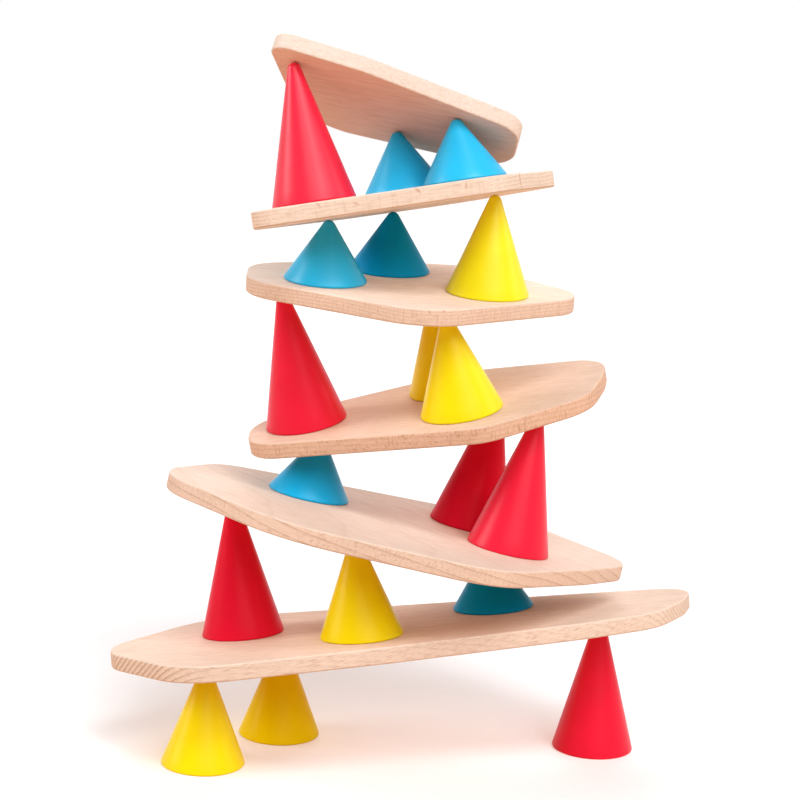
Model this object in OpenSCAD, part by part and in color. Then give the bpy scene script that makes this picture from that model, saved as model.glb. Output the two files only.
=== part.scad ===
// Wooden balance construction set: six beech boards and eighteen silicone-skinned cones,
// built up into a leaning tower. Millimetres, +Z up, floor at z = 0.
// Every board lies on the tips of the three cones below it, so its height and slope are
// worked out from those cones, and the cones on it stand square to its top face.

/* [Cones] */
// Base diameter, the same on every cone
cone_d = 42; // [36:0.5:48]
// Height of a red cone
red_height = 69.5; // [64:0.1:75]
// Height of a yellow cone
yellow_height = 50.2; // [46:0.1:54]
// Height of a blue cone
blue_height = 30.8; // [28:0.1:34]
// Radius of the rounded tip
tip_r = 3.4; // [2.5:0.1:4.5]
// Radius of the soft base edge
rim_r = 0.8; // [0.4:0.1:1.1]
// Thickness of the silicone skin
skin = 2; // [1.7:0.1:2.5]
// Clearance between the skin and the turned wood in it
skin_gap = 0.05; // [0.02:0.01:0.1]

/* [Boards] */
// Thickness of every board
board_t = 8.5; // [7:0.1:10]
// Radius of the eased edges of a board
edge_r = 1; // [0.5:0.1:2]

/* [Seats] */
// Clearance between a cone's base and the board that it stands on
seat_gap = 0.05; // [0:0.01:0.3]
// Clearance between a cone's tip and the board that lies on it
tip_gap = 0.1; // [0:0.01:0.3]

/* [Cones on the floor] */
// Place of the front yellow cone, seen from above
floor_yellow_front_at = [-99, -45.5]; // [-150:0.5:150]
// Place of the back yellow cone
floor_yellow_back_at = [-64, 6.5]; // [-150:0.5:150]
// Place of the red cone
floor_red_at = [101, 8]; // [-150:0.5:150]

/* [Cones on board 1] */
// Place of the red cone
level_1_red_at = [-83.5, -9]; // [-150:0.5:150]
// Place of the yellow cone
level_1_yellow_at = [-22, -36.5]; // [-150:0.5:150]
// Place of the blue cone
level_1_blue_at = [45.5, 15.5]; // [-150:0.5:150]

/* [Cones on board 2] */
// Place of the blue cone
level_2_blue_at = [-53.5, 10.5]; // [-100:0.5:100]
// Place of the front red cone
level_2_red_front_at = [49.5, -18.5]; // [-100:0.5:100]
// Free space between the two red cones
level_2_red_gap = 7; // [0.5:0.5:12]
// Direction of the back red cone from the front one
level_2_red_angle = 112.5; // [90:0.5:135]

/* [Cones on board 3] */
// Place of the red cone
level_3_red_at = [-56, 12]; // [-100:0.5:100]
// Place of the front yellow cone
level_3_yellow_front_at = [23, -15]; // [-100:0.5:100]
// Free space between the two yellow cones
level_3_yellow_gap = 2; // [0.5:0.5:12]
// Direction of the back yellow cone from the front one
level_3_yellow_angle = 98; // [80:0.5:120]

/* [Cones on board 4] */
// Place of the left blue cone
level_4_blue_left_at = [-49, 2]; // [-100:0.5:100]
// Place of the yellow cone
level_4_yellow_at = [33, -0.5]; // [-100:0.5:100]
// Free space between the two blue cones
level_4_blue_gap = 9; // [0.5:0.5:15]
// Direction of the back blue cone from the left one
level_4_blue_angle = 51.5; // [30:0.5:70]

/* [Cones on board 5] */
// Place of the red cone
level_5_red_at = [-55, -21]; // [-100:0.5:100]
// Place of the front blue cone
level_5_blue_front_at = [18.5, -13.5]; // [-100:0.5:100]
// Free space between the two blue cones
level_5_blue_gap = 3.5; // [0.5:0.5:12]
// Direction of the back blue cone from the front one
level_5_blue_angle = 130; // [110:0.5:150]

/* [Outlines of the boards, each corner as x, y and radius] */
// Board 1, the long one at the bottom
board_1_corners = [[-121.5, -27.5, 27.5], [-79.5, -13.5, 52.5], [79.5, -2.5, 41], [135, 22, 15],
    [121.5, 12, 25.5], [104, 2, 36], [-12.5, -52, 17.5], [-91, -47, 38.5]]; // [-160:0.5:160]
// Board 2
board_2_corners = [[-85, 24, 29.5], [54, 57.5, 21.5], [88, 15.5, 24.5], [80, -19.5, 12.5], [20.5, -41.5, 46],
    [-32.5, -11, 75], [-89.5, -7, 38]]; // [-140:0.5:140]
// Board 3
board_3_corners = [[-60.5, 12, 25], [29.5, 25.5, 34.5], [81, 26, 20.5], [72, 14.5, 27.5], [62.5, -1, 32],
    [33, -25, 22], [-64.5, 5, 21]]; // [-120:0.5:120]
// Board 4
board_4_corners = [[-66.5, 20.5, 23.5], [-25, 39, 28], [19, 50, 22], [57.5, 14, 20.5], [-1, -15.5, 35],
    [-62.5, 6.5, 27]]; // [-120:0.5:120]
// Board 5
board_5_corners = [[-72, -36.5, 12.5], [-71, -9.5, 15.5], [-30.5, 45, 23], [9, 56, 31.5], [48.5, 28.5, 18],
    [26, -21.5, 17.5]]; // [-120:0.5:120]
// Board 6, the small one on top
board_6_corners = [[-75, -17.5, 9.5], [-41, 21, 30.5], [21.5, 11.5, 25], [30, -5.5, 15],
    [-40, 6, 35]]; // [-100:0.5:100]

/* [Hidden] */
RED = 0;
YELLOW = 1;
BLUE = 2;
HEIGHTS = [red_height, yellow_height, blue_height];
SKIN_COLOURS = ["#E2213F", "#FFDF00", "#1AA5DC"];
CORE_COLOUR = "#DDB58F";
BOARD_COLOUR = "#ECC9AC";
CONE_FN = 96;
CORNER_FN = 64;
EDGE_STEPS = 4;
TIP_STEPS = 8;

OUTLINES = [board_1_corners, board_2_corners, board_3_corners, board_4_corners, board_5_corners,
    board_6_corners];

// A place beside another cone, with a free space between the two bases
function beside(at, gap, angle) = at + (cone_d + gap) * [cos(angle), sin(angle)];

// The cones of each level from the floor up, each as [name, kind, place seen from above]
LEVELS = [
    [["floor_yellow_front", YELLOW, floor_yellow_front_at],
     ["floor_yellow_back", YELLOW, floor_yellow_back_at],
     ["floor_red", RED, floor_red_at]],
    [["level_1_red", RED, level_1_red_at],
     ["level_1_yellow", YELLOW, level_1_yellow_at],
     ["level_1_blue", BLUE, level_1_blue_at]],
    [["level_2_blue", BLUE, level_2_blue_at],
     ["level_2_red_front", RED, level_2_red_front_at],
     ["level_2_red_back", RED, beside(level_2_red_front_at, level_2_red_gap, level_2_red_angle)]],
    [["level_3_red", RED, level_3_red_at],
     ["level_3_yellow_front", YELLOW, level_3_yellow_front_at],
     ["level_3_yellow_back", YELLOW,
      beside(level_3_yellow_front_at, level_3_yellow_gap, level_3_yellow_angle)]],
    [["level_4_blue_left", BLUE, level_4_blue_left_at],
     ["level_4_blue_back", BLUE, beside(level_4_blue_left_at, level_4_blue_gap, level_4_blue_angle)],
     ["level_4_yellow", YELLOW, level_4_yellow_at]],
    [["level_5_red", RED, level_5_red_at],
     ["level_5_blue_front", BLUE, level_5_blue_front_at],
     ["level_5_blue_back", BLUE, beside(level_5_blue_front_at, level_5_blue_gap, level_5_blue_angle)]]
];

function board_name(number) = str("board_", number);
function core_name(cone) = str(cone[0], "_core");
function skin_name(cone) = str(cone[0], "_skin");

// Planes are [a point on it, its normal]. The floor is the first.
FLOOR = [[0, 0, 0], [0, 0, 1]];

function unit(v) = v / norm(v);
function upward(v) = v.z < 0 ? -v : v;
function lifted(plane, distance) = [plane[0] + distance * plane[1], plane[1]];

// The point of a plane straight above or below a place seen from above
function foot(plane, at) =
    let (p = plane[0], n = plane[1])
    [at.x, at.y, p.z - (n.x * (at.x - p.x) + n.y * (at.y - p.y)) / n.z];

// The centre of a cone's rounded tip
function tip_centre(plane, cone) = foot(plane, cone[2]) + (HEIGHTS[cone[1]] - tip_r) * plane[1];

// The plane that touches three equal balls from above, raised by the tips' clearance
function resting_on(tips) =
    let (n = upward(unit(cross(tips[1] - tips[0], tips[2] - tips[0]))))
    [tips[0] + (tip_r + tip_gap) * n, n];

// The underside of the board over a level of cones, and the plane that a level stands on
function underside(level) = resting_on([for (cone = LEVELS[level]) tip_centre(standing(level), cone)]);
function standing(level) = level == 0 ? FLOOR : lifted(underside(level - 1), board_t + seat_gap);

// Puts its children on a plane, square to it, over a place seen from above
module on_plane(plane, at) {
    n = plane[1];
    translate(foot(plane, at))
        rotate([asin(-n.y), atan2(n.x, n.z), 0])
            children();
}

// The side of a cone is the line that touches the base edge's circle and the tip's circle.
// This is the direction that it faces, as an angle up from the horizontal.
function side_turn(height) =
    let (rise = [0, height - tip_r] - [cone_d / 2 - rim_r, rim_r])
    atan2(rise.y, rise.x) - acos((rim_r - tip_r) / norm(rise));

function arc(centre, r, from, to, steps) =
    [for (i = [0:steps]) let (a = from + (to - from) * i / steps) centre + r * [cos(a), sin(a)]];

// Right half of a cone's outer form, from the axis at the base to the top of the tip
function outer_half(height) = concat(
    [[0, 0]],
    arc([cone_d / 2 - rim_r, rim_r], rim_r, -90, side_turn(height), EDGE_STEPS),
    arc([0, height - tip_r], tip_r, side_turn(height), 90, TIP_STEPS)
);

// The same form set in by a distance, with its flat end at a height of its own
function inner_half(height, inset, end) =
    let (turn = side_turn(height), tip = [0, height - tip_r], side = tip * [cos(turn), sin(turn)] + tip_r - inset)
    concat(
        [[0, end], [(side - end * sin(turn)) / cos(turn), end]],
        arc(tip, tip_r - inset, turn, 90, TIP_STEPS)
    );

module turned(half) {
    rotate_extrude($fn = CONE_FN)
        polygon(half);
}

// Turned beech core of a cone
module cone_core(level, cone) {
    color(CORE_COLOUR)
        on_plane(standing(level), cone[2])
            turned(inner_half(HEIGHTS[cone[1]], skin + skin_gap, 0));
}

// Silicone skin of a cone, open underneath
module cone_skin(level, cone) {
    height = HEIGHTS[cone[1]];
    color(SKIN_COLOURS[cone[1]])
        on_plane(standing(level), cone[2])
            difference() {
                turned(outer_half(height));
                turned(inner_half(height, skin, -skin));
            }
}

// A round of board with both edges eased
module eased_disc(r) {
    rotate_extrude($fn = CORNER_FN)
        polygon(concat(
            [[0, 0]],
            arc([r - edge_r, edge_r], edge_r, -90, 0, EDGE_STEPS),
            arc([r - edge_r, board_t - edge_r], edge_r, 0, 90, EDGE_STEPS),
            [[0, board_t]]
        ));
}

// A board lies on the cones of the level below it
module board(number) {
    color(BOARD_COLOUR)
        on_plane(underside(number - 1), [0, 0])
            hull()
                for (corner = OUTLINES[number - 1])
                    translate([corner[0], corner[1], 0])
                        eased_disc(corner[2]);
}

for (number = [1:len(OUTLINES)])
    board(number);

for (level = [0:len(LEVELS) - 1])
    for (cone = LEVELS[level])
        cone_core(level, cone);

for (level = [0:len(LEVELS) - 1])
    for (cone = LEVELS[level])
        cone_skin(level, cone);
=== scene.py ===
# Wooden balance construction set: six beech boards and eighteen silicone-skinned cones, built up
# into a leaning tower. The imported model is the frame. Each board and each skin is drawn again as a
# finer mesh of the same form, and the turned cores are the model's own. Metres, floor at z = 0.
import math

import bmesh
import bpy
from mathutils import Matrix, Vector


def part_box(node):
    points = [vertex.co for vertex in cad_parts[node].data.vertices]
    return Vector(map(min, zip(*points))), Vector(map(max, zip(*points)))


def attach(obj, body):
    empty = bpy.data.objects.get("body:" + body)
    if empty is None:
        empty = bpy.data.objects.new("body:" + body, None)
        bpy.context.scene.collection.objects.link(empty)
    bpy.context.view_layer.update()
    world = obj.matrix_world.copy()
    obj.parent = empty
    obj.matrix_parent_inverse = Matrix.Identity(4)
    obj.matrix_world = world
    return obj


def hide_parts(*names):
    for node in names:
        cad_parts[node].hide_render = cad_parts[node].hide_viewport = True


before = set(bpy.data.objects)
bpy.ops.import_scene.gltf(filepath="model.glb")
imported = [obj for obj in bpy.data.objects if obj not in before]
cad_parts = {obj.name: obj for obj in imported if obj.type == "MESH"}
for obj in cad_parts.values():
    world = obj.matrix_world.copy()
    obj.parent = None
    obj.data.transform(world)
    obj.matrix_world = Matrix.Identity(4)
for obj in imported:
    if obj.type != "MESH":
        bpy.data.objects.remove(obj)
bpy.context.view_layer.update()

# Sizes of the real pieces
EDGE_RADIUS = 0.001
TIP_RADIUS = 0.0034
RIM_RADIUS = 0.0008
SKIN = 0.002

# How finely the meshes are divided
CORNER_STEPS = 3
EDGE_STEPS = 8
CONE_STEPS = 144
SIDE_STEPS = 10
TIP_STEPS = 14
RIM_STEPS = 6
CAP_SUPPORT = 0.0005
SHARP_ANGLE = math.radians(50)

# Decimals that the model's points are compared at, and the radius under which a point is on the axis
POINT_DECIMALS = 6
ON_AXIS = 1e-7

# Each board's wood. grain is the direction of its grain seen from above, and tilt and dip turn its growth
# rings round the grain and along it, all in degrees. ring is how far apart they lie and pith how far off
# their pith is. thin makes their dark lines thinner. side_rings and end_rings say how strongly they show,
# and fade what share of that is left at the far end of the grain. rays, ticks and pores say how strongly
# rays, ticks across the rim and pores show, and worn how strongly the lower arris is darkened, which is
# painted shade on that downward edge. face and rim are the colours of the broad faces and of the cut rim,
# as linear light. Besides the wood's own tone they hold painted light and shade, matched board by board to
# how bright each looks where it stands: the rims of board_5 and board_6 are lighter as painted light near
# the top of the tower, and the faces of board_3 and board_6 are darker as painted shade. seed shifts all
# of the figure.
BOARD_WOOD = {
    "board_1": dict(grain=3, tilt=51, dip=0, ring=0.0024, pith=0.16, thin=2.2, side_rings=0.22,
                    end_rings=1.35, fade=0.35, rays=1.15, ticks=0.1, pores=0.3, lower_arris_shade=0.30,
                    face=(0.885, 0.690, 0.565), rim=(0.87, 0.710, 0.590), seed=1),
    "board_2": dict(grain=-24, tilt=12, dip=-6, ring=0.0048, pith=0.50, thin=8, side_rings=1.00,
                    end_rings=0.95, fade=0.9, rays=0.8, ticks=0.1, pores=0.4, lower_arris_shade=0.30,
                    face=(0.86, 0.695, 0.590), rim=(0.865, 0.670, 0.545), seed=2),
    "board_3": dict(grain=-6, tilt=8, dip=-2, ring=0.0026, pith=0.40, thin=3, side_rings=0.30,
                    end_rings=0.45, fade=1.0, rays=0.9, ticks=1.3, pores=0.7, lower_arris_shade=0.45,
                    face=(0.80, 0.590, 0.465), rim=(0.84, 0.575, 0.425), seed=3),
    "board_4": dict(grain=6, tilt=3, dip=0, ring=0.0017, pith=0.60, thin=3, side_rings=0.30,
                    end_rings=0.55, fade=1.0, rays=0.5, ticks=0.9, pores=0.5, lower_arris_shade=0.35,
                    face=(0.95, 0.795, 0.685), rim=(0.89, 0.690, 0.560), seed=4),
    "board_5": dict(grain=10, tilt=1, dip=0, ring=0.0019, pith=1.20, thin=3, side_rings=0.16,
                    end_rings=0.65, fade=0.7, rays=0.4, ticks=0.6, pores=0.3, lower_arris_shade=0.70,
                    face=(0.92, 0.740, 0.620), rim=(0.93, 0.785, 0.665), seed=5),
    "board_6": dict(grain=-16, tilt=-38, dip=0, ring=0.0026, pith=0.30, thin=3, side_rings=0.06,
                    end_rings=0.12, fade=1.0, rays=0.3, ticks=0.25, pores=0.15, lower_arris_shade=0.0,
                    face=(0.85, 0.600, 0.485), rim=(0.93, 0.800, 0.705), seed=6),
}
CORE_WOOD = dict(tilt=30, dip=0, ring=0.0024, pith=0.16, thin=3, side_rings=0.3, end_rings=0.8, fade=1.0,
                 rays=0.8, ticks=0.0, pores=0.6, lower_arris_shade=0.0, face=(0.88, 0.68, 0.55), rim=(0.88, 0.68, 0.55))
FIRST_CORE_SEED = 10

# Small marks on front rims: where they lie in the board's own wood, how they lean in degrees, half their
# length and width, and how strongly they show
FLECKS = {
    "board_4": [
        ((0.0033, -0.0616, 0.0030), 60, 0.0009, 0.0006, 0.6),
        ((0.0104, -0.0606, 0.0034), 20, 0.0008, 0.0006, 0.6),
        ((0.0075, -0.0612, 0.0000), 90, 0.0022, 0.0003, 0.5),
    ],
    "board_5": [
        ((-0.0516, -0.0580, 0.0014), 45, 0.0016, 0.0006, 0.5),
        ((-0.0335, -0.0594, -0.0008), 25, 0.0018, 0.0005, 0.6),
        ((-0.0030, -0.0615, 0.0010), 50, 0.0021, 0.0007, 0.6),
        ((0.0204, -0.0632, -0.0002), 100, 0.0018, 0.0006, 0.5),
        ((0.0511, -0.0441, 0.0000), 90, 0.0052, 0.0003, 0.9),
    ],
}

# The cones of each level from the floor up, and how much each skin's colour and gloss are painted as lit,
# from 0, darker and duller as painted shade for a skin in the shade of boards, to 1, lighter and glossier
# as painted light for one in full light
LEVELS = [
    {"floor_yellow_front": 0.35, "floor_yellow_back": 0.0, "floor_red": 0.35},
    {"level_1_red": 0.05, "level_1_yellow": 0.2, "level_1_blue": 0.0},
    {"level_2_blue": 0.45, "level_2_red_front": 0.55, "level_2_red_back": 0.0},
    {"level_3_red": 0.45, "level_3_yellow_front": 0.55, "level_3_yellow_back": 0.3},
    {"level_4_blue_left": 0.9, "level_4_blue_back": 0.0, "level_4_yellow": 1.0},
    {"level_5_red": 1.0, "level_5_blue_front": 1.0, "level_5_blue_back": 0.8},
]


# Node graphs

MIX_A, MIX_B, MIX_RESULT = 6, 7, 2


class Graph:
    """Adds nodes to a material's or the world's node tree, with their inputs by name."""

    def __init__(self, tree):
        self.tree = tree
        tree.nodes.clear()

    def add(self, kind, inputs=None, **settings):
        node = self.tree.nodes.new("ShaderNode" + kind)
        for name, value in settings.items():
            setattr(node, name, value)
        for name, value in (inputs or {}).items():
            self.feed(node.inputs[name], value)
        return node

    def feed(self, socket, value):
        """Links a socket to another node's output, or sets it to a plain value."""
        if isinstance(value, bpy.types.NodeSocket):
            self.tree.links.new(value, socket)
        else:
            socket.default_value = value

    def math(self, operation, a, b=0.0, c=0.0):
        return self.add("Math", {0: a, 1: b, 2: c}, operation=operation).outputs[0]

    def span(self, value, low, high, to_low=0.0, to_high=1.0):
        """value, carried from one span of numbers to another and kept within it."""
        names = {"Value": value, "From Min": low, "From Max": high, "To Min": to_low, "To Max": to_high}
        return self.add("MapRange", names).outputs[0]

    def mix(self, factor, a, b, blend="MIX"):
        """A mix of two colours."""
        node = self.add("Mix", {0: factor}, data_type="RGBA", blend_type=blend)
        for index, colour in ((MIX_A, a), (MIX_B, b)):
            linked = isinstance(colour, bpy.types.NodeSocket)
            self.feed(node.inputs[index], colour if linked else (*colour, 1))
        return node.outputs[MIX_RESULT]

    def noise(self, vector, waves, detail=2.0, roughness=0.5, span=None):
        """Noise with so many waves per metre, the same each way or given for x, y and z. Where a span is
        given, the noise is carried from it to its second pair of numbers, or to 0 and 1."""
        if isinstance(waves, tuple):
            vector, waves = self.mapped(vector, scale=waves), 1.0
        names = {"Vector": vector, "Scale": waves, "Detail": detail, "Roughness": roughness}
        noise = self.add("TexNoise", names).outputs["Fac"]
        return self.span(noise, *span) if span else noise

    def mapped(self, vector, scale=(1, 1, 1), location=(0, 0, 0), rotation=(0, 0, 0), kind="POINT"):
        names = {"Vector": vector, "Location": location, "Rotation": rotation, "Scale": scale}
        return self.add("Mapping", names, vector_type=kind).outputs[0]

    def parts(self, vector):
        return self.add("SeparateXYZ", {"Vector": vector}).outputs

    def satin(self, colour, rough, gloss, height, bump):
        """Makes the material's surface a plain shader with a bump."""
        normal = self.add("Bump", {"Height": height, **bump}).outputs[0]
        self.surface(self.add("BsdfPrincipled", {
            "Base Color": colour,
            "Roughness": rough,
            "Specular IOR Level": gloss,
            "Normal": normal,
        }))

    def surface(self, shader):
        self.add("OutputMaterial", {"Surface": shader.outputs[0]})


def new_material(name):
    material = bpy.data.materials.new(name)
    material.use_nodes = True
    return material, Graph(material.node_tree)


# Beech

# What wood's own colour is multiplied by where it is lighter or darker, dark in its rings and rays and on
# the lower arris, where that dark is painted shade, pale on the upper arris as a painted highlight, and
# brown in a fleck
WOOD_LIGHTER = (1.045, 1.065, 1.085)
WOOD_DARKER = (0.985, 0.965, 0.950)
WOOD_DARK = (0.60, 0.44, 0.33)
WOOD_ARRIS_HIGHLIGHT = (1.06, 1.10, 1.14)
WOOD_FLECK = (0.66, 0.38, 0.27)

# Its noises, in waves per metre along the grain, across it and through the thickness, or alike each way
WOOD_NOISE = {
    "wander": dict(waves=(5, 14, 14), roughness=0.45),
    "ring_gaps": dict(waves=(90, 600, 600), roughness=0.6, span=(0.30, 0.62, 0.25, 1.0)),
    "ray_clumps": dict(waves=150.0, detail=1.0, span=(0.34, 0.58, 0.2, 1.0)),
    "tick_clumps": dict(waves=60.0, detail=1.0, span=(0.35, 0.60, 0.3, 1.0)),
    "fibre": dict(waves=(75, 1500, 1500), detail=3.0, roughness=0.6),
    "pores": dict(waves=(900, 2200, 2200), roughness=0.6, span=(0.52, 0.72)),
    "bands": dict(waves=(6, 70, 70), detail=3.0, roughness=0.55, span=(0.25, 0.78)),
    "blotches": dict(waves=14.0, span=(0.35, 0.75, 0.0, 0.4)),
}
SEED_SHIFT = (0.37, 0.11, 0.23)

# How far a face looks along the grain before it shows end wood, and up or down before it is a broad face,
# and the two turns in which the rim becomes an arris and the arris a broad face
END_FACING = (0.15, 0.85)
BROAD_FACING = (0.55, 0.92)
ARRIS_START = (0.10, 0.45)
ARRIS_END = (0.60, 0.97)

# Growth rings: how far they wander, where in each its late wood begins and is darkest, the share of them
# that broad faces don't show, the strength of their soft shade, and how far from the middle they fade
RING_WANDER = 0.007
LATE_WOOD = (0.35, 0.96)
BROAD_LOSS = 0.80
RING_SHADE = 0.75
FADE_REACH = 0.11

# Rays: their length, thickness and height, how soft their edges are, their strength on broad faces, and
# what rims add to it
RAY_SIZE = (0.0080, 0.00050, 0.0026)
RAY_EDGE = (0.18, 0.38, 1.0, 0.0)
RAY_STRENGTH = 0.28
RAY_RIM_STRENGTH = 0.24

# Ticks: their waves per metre along the grain, across it and through the thickness, how soft their edges
# are, and their strength
TICK_WAVES = (1300, 1300, 30)
TICK_EDGE = (0.54, 0.72)
TICK_STRENGTH = 0.55

# Fibres: which of them show as dark streaks, how strongly on rims, and what broad faces add to it
STREAKS = (0.42, 0.80)
STREAK_STRENGTH = 0.40
STREAK_BROAD_STRENGTH = 0.14

# Flecks: half their depth, and how soft their edges are. Then pores, end wood and the painted highlight on
# the upper arris
FLECK_DEPTH = 0.004
FLECK_EDGE = (0.4, 1.3)
PORE_STRENGTH = 0.26
END_SHADE = 0.06
ARRIS_HIGHLIGHT_STRENGTH = 0.50

# The finish: how its roughness follows the fibres, its gloss, its bump, and how far fibres stand up and
# rays lie deep in that
WOOD_ROUGHNESS = (0.2, 0.8, 0.54, 0.68)
WOOD_GLOSS = 0.07
WOOD_BUMP = {"Strength": 0.20, "Distance": 0.00025}
FIBRE_HEIGHT = 0.5
RAY_DEPTH = 0.25


def arris(g, upward):
    """How much a face looks like the rounded edge between a rim and a broad face."""
    return g.math("MULTIPLY", g.span(upward, *ARRIS_START), g.span(upward, *ARRIS_END, 1.0, 0.0))


def beech(g, point, facing, wood):
    """Beech as a solid: growth rings, rays and fibres in one block, so each cut face shows what it would.
    point has the grain along x, the board's thickness along z and the middle of the block near 0, and
    facing is the direction that the face looks in."""
    seed = wood["seed"]
    shifted = g.mapped(point, location=[step * seed for step in SEED_SHIFT])
    turned = g.mapped(point, rotation=(math.radians(wood["tilt"]), math.radians(wood["dip"]), 0))
    noise = {name: g.noise(shifted, **settings) for name, settings in WOOD_NOISE.items()}
    looks = g.parts(facing)
    ends = g.span(g.math("ABSOLUTE", looks[0]), *END_FACING)
    broad = g.span(g.math("ABSOLUTE", looks[2]), *BROAD_FACING)
    rim = g.math("SUBTRACT", 1.0, broad)

    # Growth rings round a pith that lies off the block
    apart = g.parts(turned)
    deep = g.math("ADD", apart[2], wood["pith"])
    square = g.math("ADD", g.math("POWER", deep, 2.0), g.math("POWER", apart[1], 2.0))
    bent = g.math("MULTIPLY_ADD", noise["wander"], RING_WANDER, g.math("SQRT", square))
    phase = g.math("FRACT", g.math("DIVIDE", bent, wood["ring"]))
    late = g.span(phase, *LATE_WOOD)
    line = g.math("POWER", late, wood["thin"])
    line = g.math("MULTIPLY", line, g.span(phase, LATE_WOOD[1], 1.0, 1.0, 0.0))
    line = g.math("MULTIPLY", line, noise["ring_gaps"])
    shown = g.mix(ends, (wood["side_rings"],) * 3, (wood["end_rings"],) * 3)
    shown = g.math("MULTIPLY", shown, g.math("MULTIPLY_ADD", broad, -BROAD_LOSS, 1.0))
    along = g.parts(point)[0]
    shown = g.math("MULTIPLY", shown, g.span(along, -FADE_REACH, FADE_REACH, 1.0, wood["fade"]))
    line = g.math("MULTIPLY", line, shown)
    shade = g.math("MULTIPLY", late, g.math("MULTIPLY", shown, RING_SHADE / wood["thin"]))

    # Rays: thin lens-shaped sheets along the grain and the radius
    cells = g.mapped(turned, scale=[1 / size for size in RAY_SIZE], location=(seed, seed, seed))
    near = g.add("TexVoronoi", {"Vector": cells, "Scale": 1.0, "Randomness": 1.0}, feature="F1")
    ray = g.math("MULTIPLY", g.span(near.outputs["Distance"], *RAY_EDGE), noise["ray_clumps"])
    ray_strength = g.math("MULTIPLY_ADD", rim, RAY_RIM_STRENGTH, RAY_STRENGTH)
    dark_ray = g.math("MULTIPLY", ray, g.math("MULTIPLY", ray_strength, wood["rays"]))

    # Ticks: what the cutter pulled up across the thickness of the rim
    post = g.noise(g.mapped(turned, scale=TICK_WAVES, location=(seed, 0, seed)), 1.0)
    tick = g.math("MULTIPLY", g.span(post, *TICK_EDGE), rim)
    tick = g.math("MULTIPLY", tick, noise["tick_clumps"])
    tick = g.math("MULTIPLY", tick, TICK_STRENGTH * wood["ticks"])

    # Fibres and pores
    streak_strength = g.math("MULTIPLY_ADD", broad, STREAK_BROAD_STRENGTH, STREAK_STRENGTH)
    streaks = g.math("MULTIPLY", g.span(noise["fibre"], *STREAKS), streak_strength)
    pores = g.math("MULTIPLY", noise["pores"], PORE_STRENGTH * wood["pores"])

    tint = g.mix(noise["bands"], WOOD_LIGHTER, WOOD_DARKER)
    tint = g.mix(noise["blotches"], tint, WOOD_DARKER)
    for part in (streaks, pores, line, shade, dark_ray, tick, g.math("MULTIPLY", ends, END_SHADE)):
        tint = g.mix(part, tint, WOOD_DARK)

    # The arrises: a painted highlight makes the upper one pale, and painted shade darkens the lower one
    above = arris(g, looks[2])
    below = arris(g, g.math("MULTIPLY", looks[2], -1.0))
    # Painted highlight: the upper arris is made pale
    tint = g.mix(g.math("MULTIPLY", above, ARRIS_HIGHLIGHT_STRENGTH), tint, WOOD_ARRIS_HIGHLIGHT)
    # Painted shade: the lower arris is darkened towards the wood's dark colour
    tint = g.mix(g.math("MULTIPLY", below, wood["lower_arris_shade"]), tint, WOOD_DARK)

    for at, lean, length, width, strength in wood.get("flecks", ()):
        there = g.mapped(point, location=at, rotation=(0, math.radians(lean), 0),
                         scale=(length, FLECK_DEPTH, width), kind="TEXTURE")
        away = g.add("VectorMath", {0: there}, operation="LENGTH").outputs["Value"]
        tint = g.mix(g.span(away, *FLECK_EDGE, strength, 0.0), tint, WOOD_FLECK)
    # The face and rim colours hold painted light and shade as well as the wood's own tone
    colour = g.mix(1.0, g.mix(rim, wood["face"], wood["rim"]), tint, "MULTIPLY")

    rough = g.span(noise["fibre"], *WOOD_ROUGHNESS)
    raised = g.math("MULTIPLY", noise["fibre"], FIBRE_HEIGHT)
    height = g.math("ADD", raised, g.math("MULTIPLY", ray, -RAY_DEPTH))
    g.satin(colour, rough, WOOD_GLOSS, height, WOOD_BUMP)


def beech_material(name, matrix, wood):
    """A piece of beech of its own. The x axis of matrix runs along its grain."""
    material, g = new_material(name + " beech")
    where = g.add("TexCoord").outputs
    turn = matrix.to_euler()
    point = g.mapped(where["Object"], location=matrix.translation, rotation=turn, kind="TEXTURE")
    facing = g.mapped(where["Normal"], rotation=turn, kind="TEXTURE")
    beech(g, point, facing, wood)
    return material


# Silicone

# Colours as linear light, a darker one as painted shade and a lighter one as painted light, and its gloss
# for each
SILICONE = {
    "red": ((0.87, 0.008, 0.036), (0.94, 0.016, 0.058)),
    "yellow": ((1.0, 0.77, 0.0), (1.0, 0.90, 0.002)),
    "blue": ((0.0, 0.385, 0.76), (0.014, 0.585, 1.0)),
}
SKIN_GLOSS = (0.06, 0.36)

# Its clouds and its grain, in waves per metre, how deep the clouds are, how its roughness follows them, and
# its bump
CLOUDS = dict(waves=45.0, detail=3.0)
CLOUD_SPAN = (0.3, 0.7)
CLOUD_DEPTH = 0.90
GRAIN_WAVES = 2600.0
SKIN_ROUGHNESS = (0.25, 0.75, 0.30, 0.38)
SKIN_BUMP = {"Strength": 0.10, "Distance": 0.00006}


def silicone(name, colours, painted_light_share):
    """Satin silicone: even colour, faintly clouded, with a soft broad gloss and a fine grain. A skin in
    light has its colour painted lighter and more gloss, and a skin in shade has its colour painted darker."""
    material, g = new_material(name + " silicone")
    # Painted light and shade: the colour goes from the darker to the lighter one with the skin's share of
    # light
    colour = Vector(colours[0]).lerp(Vector(colours[1]), painted_light_share)
    gloss = SKIN_GLOSS[0] + (SKIN_GLOSS[1] - SKIN_GLOSS[0]) * painted_light_share
    where = g.add("TexCoord").outputs["Object"]
    cloud = g.noise(where, **CLOUDS)
    base = g.mix(g.span(cloud, *CLOUD_SPAN), colour, [CLOUD_DEPTH * c for c in colour])
    g.satin(base, g.span(cloud, *SKIN_ROUGHNESS), gloss, g.noise(where, GRAIN_WAVES), SKIN_BUMP)
    return material


# Meshes

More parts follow.
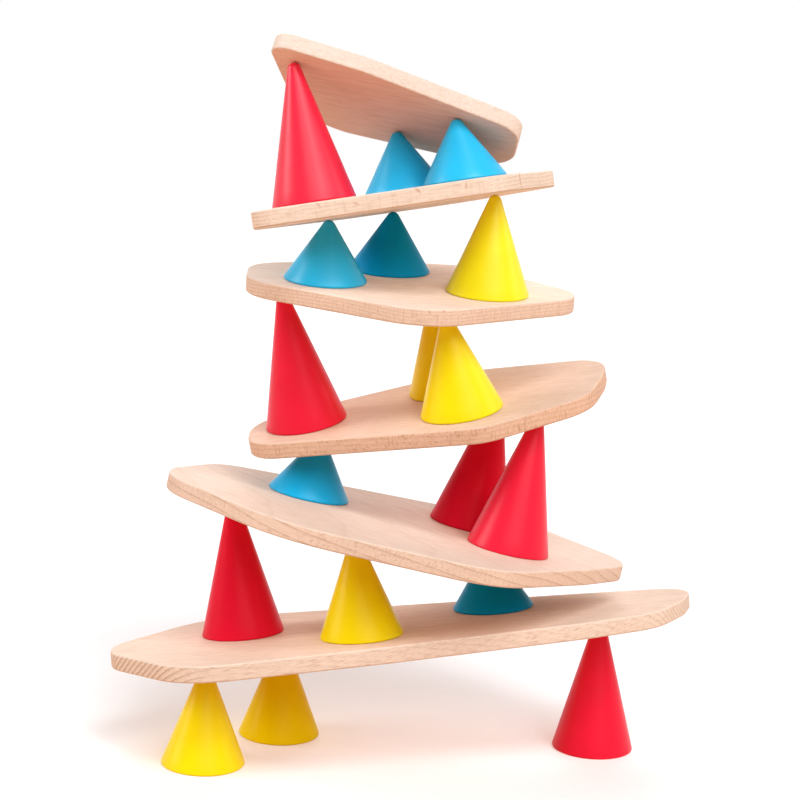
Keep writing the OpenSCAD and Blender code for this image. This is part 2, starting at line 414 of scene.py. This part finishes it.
def new_piece(name, vertices, faces, matrix, material):
    mesh = bpy.data.meshes.new(name)
    mesh.from_pydata(vertices, [], faces)
    mesh.transform(matrix)
    made = bmesh.new()
    made.from_mesh(mesh)
    bmesh.ops.recalc_face_normals(made, faces=made.faces)
    made.to_mesh(mesh)
    made.free()
    mesh.shade_smooth()
    mesh.materials.append(material)
    piece = bpy.data.objects.new(name, mesh)
    bpy.context.scene.collection.objects.link(piece)
    return piece


def arc(centre, radius, start, end, steps):
    """Points of an arc in a half plane, from one angle in radians to another."""
    angles = [start + (end - start) * i / steps for i in range(steps + 1)]
    return [(centre[0] + radius * math.cos(a), centre[1] + radius * math.sin(a)) for a in angles]


def plane_frame(up, at, direction=0.0):
    """A frame with its z axis along up and its x axis in a direction seen from above, in degrees."""
    turn = math.radians(direction)
    level = Vector((math.cos(turn), math.sin(turn), 0))
    x_axis = Vector((level.x, level.y, -level.dot(up) / up.z)).normalized()
    rotation = Matrix((x_axis, up.cross(x_axis), up)).transposed()
    return Matrix.Translation(at) @ rotation.to_4x4()


def board_plane(node):
    """The direction that a board's top face looks in."""
    widest = max(node.data.polygons, key=lambda face: face.area)
    return widest.normal * math.copysign(1, widest.normal.z)


def hull_around(points):
    """The corners of the smallest convex shape round points in a plane, counter-clockwise."""
    ordered = [Vector(point) for point in sorted(points)]
    corners = []
    for run in (ordered, ordered[::-1]):
        chain = []
        for point in run:
            while len(chain) > 1 and (chain[-1] - chain[-2]).cross(point - chain[-1]) <= 0:
                chain.pop()
            chain.append(point)
        corners += chain[:-1]
    return corners


def board_outline(points):
    """The board's outline: the hull of its vertices seen square on, with every corner rounded off between
    the middles of its sides. Returns points and the directions that they look in."""
    hull = hull_around({(round(p.x, POINT_DECIMALS), round(p.y, POINT_DECIMALS)) for p in points})
    outline = []
    for i, corner in enumerate(hull):
        before = hull[i - 1] - corner
        after = hull[(i + 1) % len(hull)] - corner
        reach = min(before.length, after.length) / 2
        start = corner + before.normalized() * reach
        end = corner + after.normalized() * reach
        for step in range(CORNER_STEPS):
            t = (step + 0.5) / CORNER_STEPS
            point = start.lerp(corner, t).lerp(corner.lerp(end, t), t)
            along = (corner.lerp(end, t) - start.lerp(corner, t)).normalized()
            outline.append((point, Vector((along.y, -along.x))))
    return outline


def board_profile(bottom, top):
    """Half of a board's edge cut across: how far in from the outline it lies, and its height."""
    profile = [(EDGE_RADIUS + CAP_SUPPORT, bottom)]
    for out, z in arc((0, 0), EDGE_RADIUS, -math.pi / 2, 0, EDGE_STEPS):
        profile.append((EDGE_RADIUS - out, bottom + EDGE_RADIUS + z))
    for out, z in arc((0, 0), EDGE_RADIUS, 0, math.pi / 2, EDGE_STEPS):
        profile.append((EDGE_RADIUS - out, top - EDGE_RADIUS + z))
    profile.append((EDGE_RADIUS + CAP_SUPPORT, top))
    return profile


def board_mesh(outline, bottom, top):
    """Vertices and faces of a board: its profile carried round the outline, and closed by a fan of
    triangles under it and one over it."""
    profile = board_profile(bottom, top)
    vertices = []
    for inset, z in profile:
        for point, outward in outline:
            placed = point - outward * inset
            vertices.append((placed.x, placed.y, z))
    count = len(outline)
    last = (len(profile) - 1) * count
    middle = sum((point for point, _ in outline), Vector((0, 0))) / count
    under, over = len(vertices), len(vertices) + 1
    vertices += [(middle.x, middle.y, bottom), (middle.x, middle.y, top)]
    sides = [(i, (i + 1) % count) for i in range(count)]
    faces = []
    for i, j in sides:
        faces.append((under, j, i))
        faces.append((over, last + i, last + j))
    for row in range(0, last, count):
        faces += [(row + i, row + j, row + count + j, row + count + i) for i, j in sides]
    return vertices, faces


def make_board(name):
    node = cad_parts[name]
    up = board_plane(node).normalized()
    low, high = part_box(name)
    matrix = plane_frame(up, (low + high) / 2, BOARD_WOOD[name]["grain"])
    local = [matrix.inverted() @ v.co for v in node.data.vertices]
    heights = [p.z for p in local]
    vertices, faces = board_mesh(board_outline(local), min(heights), max(heights))
    material = beech_material(name, matrix, dict(BOARD_WOOD[name], flecks=FLECKS.get(name, ())))
    piece = new_piece(name + "_beech", vertices, faces, matrix, material)
    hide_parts(name)
    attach(piece, name)


def side_turn(radius, height):
    """How far up from the horizontal a cone's side looks: it touches the circles of the rim and the tip."""
    run = Vector((RIM_RADIUS - radius, height - TIP_RADIUS - RIM_RADIUS))
    return math.atan2(run.y, run.x) - math.acos((RIM_RADIUS - TIP_RADIUS) / run.length)


def skin_profile(radius, height):
    """Half of a skin cut through its axis, from the foot's inner edge round the outside to the inside of
    the tip and down again."""
    turn = side_turn(radius, height)
    tip = Vector((0, height - TIP_RADIUS))
    look = Vector((math.cos(turn), math.sin(turn)))
    inner_side = tip.dot(look) + TIP_RADIUS - SKIN
    inner_foot = (inner_side / look.x, 0)
    rim = arc((radius - RIM_RADIUS, RIM_RADIUS), RIM_RADIUS, -math.pi / 2, turn, RIM_STEPS)
    cap = arc(tip, TIP_RADIUS, turn, math.pi / 2, TIP_STEPS)
    low, high = Vector(rim[-1]), Vector(cap[0])
    side = [tuple(low.lerp(high, i / SIDE_STEPS)) for i in range(1, SIDE_STEPS)]
    inside = arc(tip, TIP_RADIUS - SKIN, math.pi / 2, turn, RIM_STEPS)
    return [inner_foot, *rim, *side, *cap, *inside]


def turned_mesh(profile):
    """Vertices and faces of a closed profile turned about the z axis. A point on the axis is one vertex."""
    vertices = []
    rings = []
    for r, z in profile:
        if r < ON_AXIS:
            rings.append([len(vertices)] * CONE_STEPS)
            vertices.append((0, 0, z))
            continue
        rings.append([len(vertices) + i for i in range(CONE_STEPS)])
        for i in range(CONE_STEPS):
            a = 2 * math.pi * i / CONE_STEPS
            vertices.append((r * math.cos(a), r * math.sin(a), z))
    faces = []
    for ring, following in zip(rings, rings[1:] + rings[:1]):
        for i in range(CONE_STEPS):
            j = (i + 1) % CONE_STEPS
            corners = list(dict.fromkeys((ring[i], ring[j], following[j], following[i])))
            if len(corners) > 2:
                faces.append(corners)
    return vertices, faces


def cone_frame(name, up):
    """A cone's frame, radius and height, from its skin in the model. The origin is its foot's middle."""
    matrix = plane_frame(up, (0, 0, 0))
    local = [matrix.inverted() @ v.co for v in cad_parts[name + "_skin"].data.vertices]
    low = Vector([min(p[i] for p in local) for i in range(3)])
    high = Vector([max(p[i] for p in local) for i in range(3)])
    base = Vector(((low.x + high.x) / 2, (low.y + high.y) / 2, low.z))
    return plane_frame(up, matrix @ base), (high.x - low.x) / 2, high.z - low.z


def make_cone(name, up, painted_light_share, seed):
    """Draws a cone's skin, and gives its core a beech of its own with the grain along the cone's axis."""
    matrix, radius, height = cone_frame(name, up)
    colour = next(c for c in SILICONE if c in name)
    vertices, faces = turned_mesh(skin_profile(radius, height))
    material = silicone(name, SILICONE[colour], painted_light_share)
    piece = new_piece(name + "_silicone", vertices, faces, matrix, material)
    piece.data.set_sharp_from_angle(angle=SHARP_ANGLE)
    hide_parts(name + "_skin")
    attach(piece, name)
    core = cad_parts[name + "_core"]
    grain = matrix @ Matrix.Rotation(math.radians(-90), 4, "Y")
    core.material_slots[0].material = beech_material(name + "_core", grain, dict(CORE_WOOD, seed=seed))


# Camera

CAMERA_AT = (-0.00696, -1.11970, 0.38033)
CAMERA_YAW = math.radians(0.076)
CAMERA_PITCH = math.radians(10.05)
CAMERA_ROLL = math.radians(2.673)
CAMERA_LENS = 100.48
CAMERA_SENSOR = 36
CAMERA_NEAREST = 0.01


def make_camera():
    data = bpy.data.cameras.new("camera")
    data.sensor_width = CAMERA_SENSOR
    data.lens = CAMERA_LENS
    data.clip_start = CAMERA_NEAREST
    camera = bpy.data.objects.new("camera", data)
    turn = Matrix.Rotation(CAMERA_YAW, 4, "Z") @ Matrix.Rotation(math.pi / 2 - CAMERA_PITCH, 4, "X")
    camera.matrix_world = Matrix.Translation(CAMERA_AT) @ turn @ Matrix.Rotation(CAMERA_ROLL, 4, "Z")
    bpy.context.scene.collection.objects.link(camera)
    bpy.context.scene.camera = camera


# Lights

# Each lamp of the studio: where it stands, seen from the tower, in degrees (azimuth 0 is the camera's side
# and 90 the right), how wide it looks in degrees, and its level, where 1 shows a colour as it is written
LAMPS = {
    "front": dict(azimuth=8, elevation=45, width=46, level=0.40),
    "key": dict(azimuth=48, elevation=42, width=34, level=0.22),
    "high": dict(azimuth=28, elevation=60, width=20, level=0.22),
    "low": dict(azimuth=28, elevation=28, width=24, level=0.08),
    "left": dict(azimuth=-90, elevation=24, width=26, level=0.46),
    "back": dict(azimuth=180, elevation=38, width=46, level=0.43),
    "right": dict(azimuth=95, elevation=24, width=34, level=0.15),
}

# The world: a faint warm fill on the object, and white behind it
FILL = (1.0, 0.86, 0.74, 1)
FILL_LEVEL = 0.05
WHITE = (1, 1, 1, 1)


def make_lights():
    for name, lamp in LAMPS.items():
        data = bpy.data.lights.new(name, "SUN")
        data.energy = math.pi * lamp["level"]
        data.angle = math.radians(lamp["width"])
        light = bpy.data.objects.new(name, data)
        a, e = math.radians(lamp["azimuth"]), math.radians(lamp["elevation"])
        out = Vector((math.sin(a) * math.cos(e), -math.cos(a) * math.cos(e), math.sin(e)))
        light.rotation_euler = out.to_track_quat("Z", "Y").to_euler()
        bpy.context.scene.collection.objects.link(light)


def seen_ray(g):
    """1 for what the camera, a reflection or a view through glass sees, and 0 for light on the object."""
    path = g.add("LightPath").outputs
    seen = g.math("ADD", path["Is Camera Ray"], path["Is Glossy Ray"])
    seen = g.math("ADD", seen, path["Is Transmission Ray"])
    return g.math("MINIMUM", seen, 1.0)


def make_world():
    world = bpy.data.worlds.new("studio")
    world.use_nodes = True
    bpy.context.scene.world = world
    g = Graph(world.node_tree)
    fill = g.add("Background", {"Color": FILL, "Strength": FILL_LEVEL})
    white = g.add("Background", {"Color": WHITE, "Strength": 1.0})
    both = g.add("MixShader", {0: seen_ray(g), 1: fill.outputs[0], 2: white.outputs[0]})
    g.add("OutputWorld", {"Surface": both.outputs[0]})


# Floor

# Half its width, its colour for light that it throws on the object, and its colour and glow as the camera
# sees it
FLOOR_HALF = 4.0
PAPER = (0.84, 0.55, 0.39, 1)
PAPER_SEEN = (0.80, 0.90, 0.95, 1)
PAPER_GLOW = (0.24, 0.12, 0.08, 1)


def make_floor():
    """A pale floor. The camera sees it white, with the tower's shadow on it in a warm tone."""
    corners = [(x * FLOOR_HALF, y * FLOOR_HALF, 0) for x, y in ((-1, -1), (1, -1), (1, 1), (-1, 1))]
    mesh = bpy.data.meshes.new("floor")
    mesh.from_pydata(corners, [], [(0, 1, 2, 3)])
    material, g = new_material("studio floor")
    paper = g.add("BsdfDiffuse", {"Color": PAPER})
    lit = g.add("BsdfDiffuse", {"Color": PAPER_SEEN})
    glow = g.add("Emission", {"Color": PAPER_GLOW, "Strength": 1.0})
    seen = g.add("AddShader", {0: lit.outputs[0], 1: glow.outputs[0]})
    g.surface(g.add("MixShader", {0: seen_ray(g), 1: paper.outputs[0], 2: seen.outputs[0]}))
    mesh.materials.append(material)
    floor = bpy.data.objects.new("floor", mesh)
    bpy.context.scene.collection.objects.link(floor)


# The tower

def make_cones():
    standing = [Vector((0, 0, 1))] + [board_plane(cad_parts[name]) for name in BOARD_WOOD]
    cones = [(up, cone) for up, level in zip(standing, LEVELS) for cone in level.items()]
    for seed, (up, (name, painted_light_share)) in enumerate(cones, FIRST_CORE_SEED):
        make_cone(name, up, painted_light_share, seed)


make_camera()
for board in BOARD_WOOD:
    make_board(board)
make_cones()
make_lights()
make_world()
make_floor()
bpy.context.scene.view_settings.view_transform = "Standard"
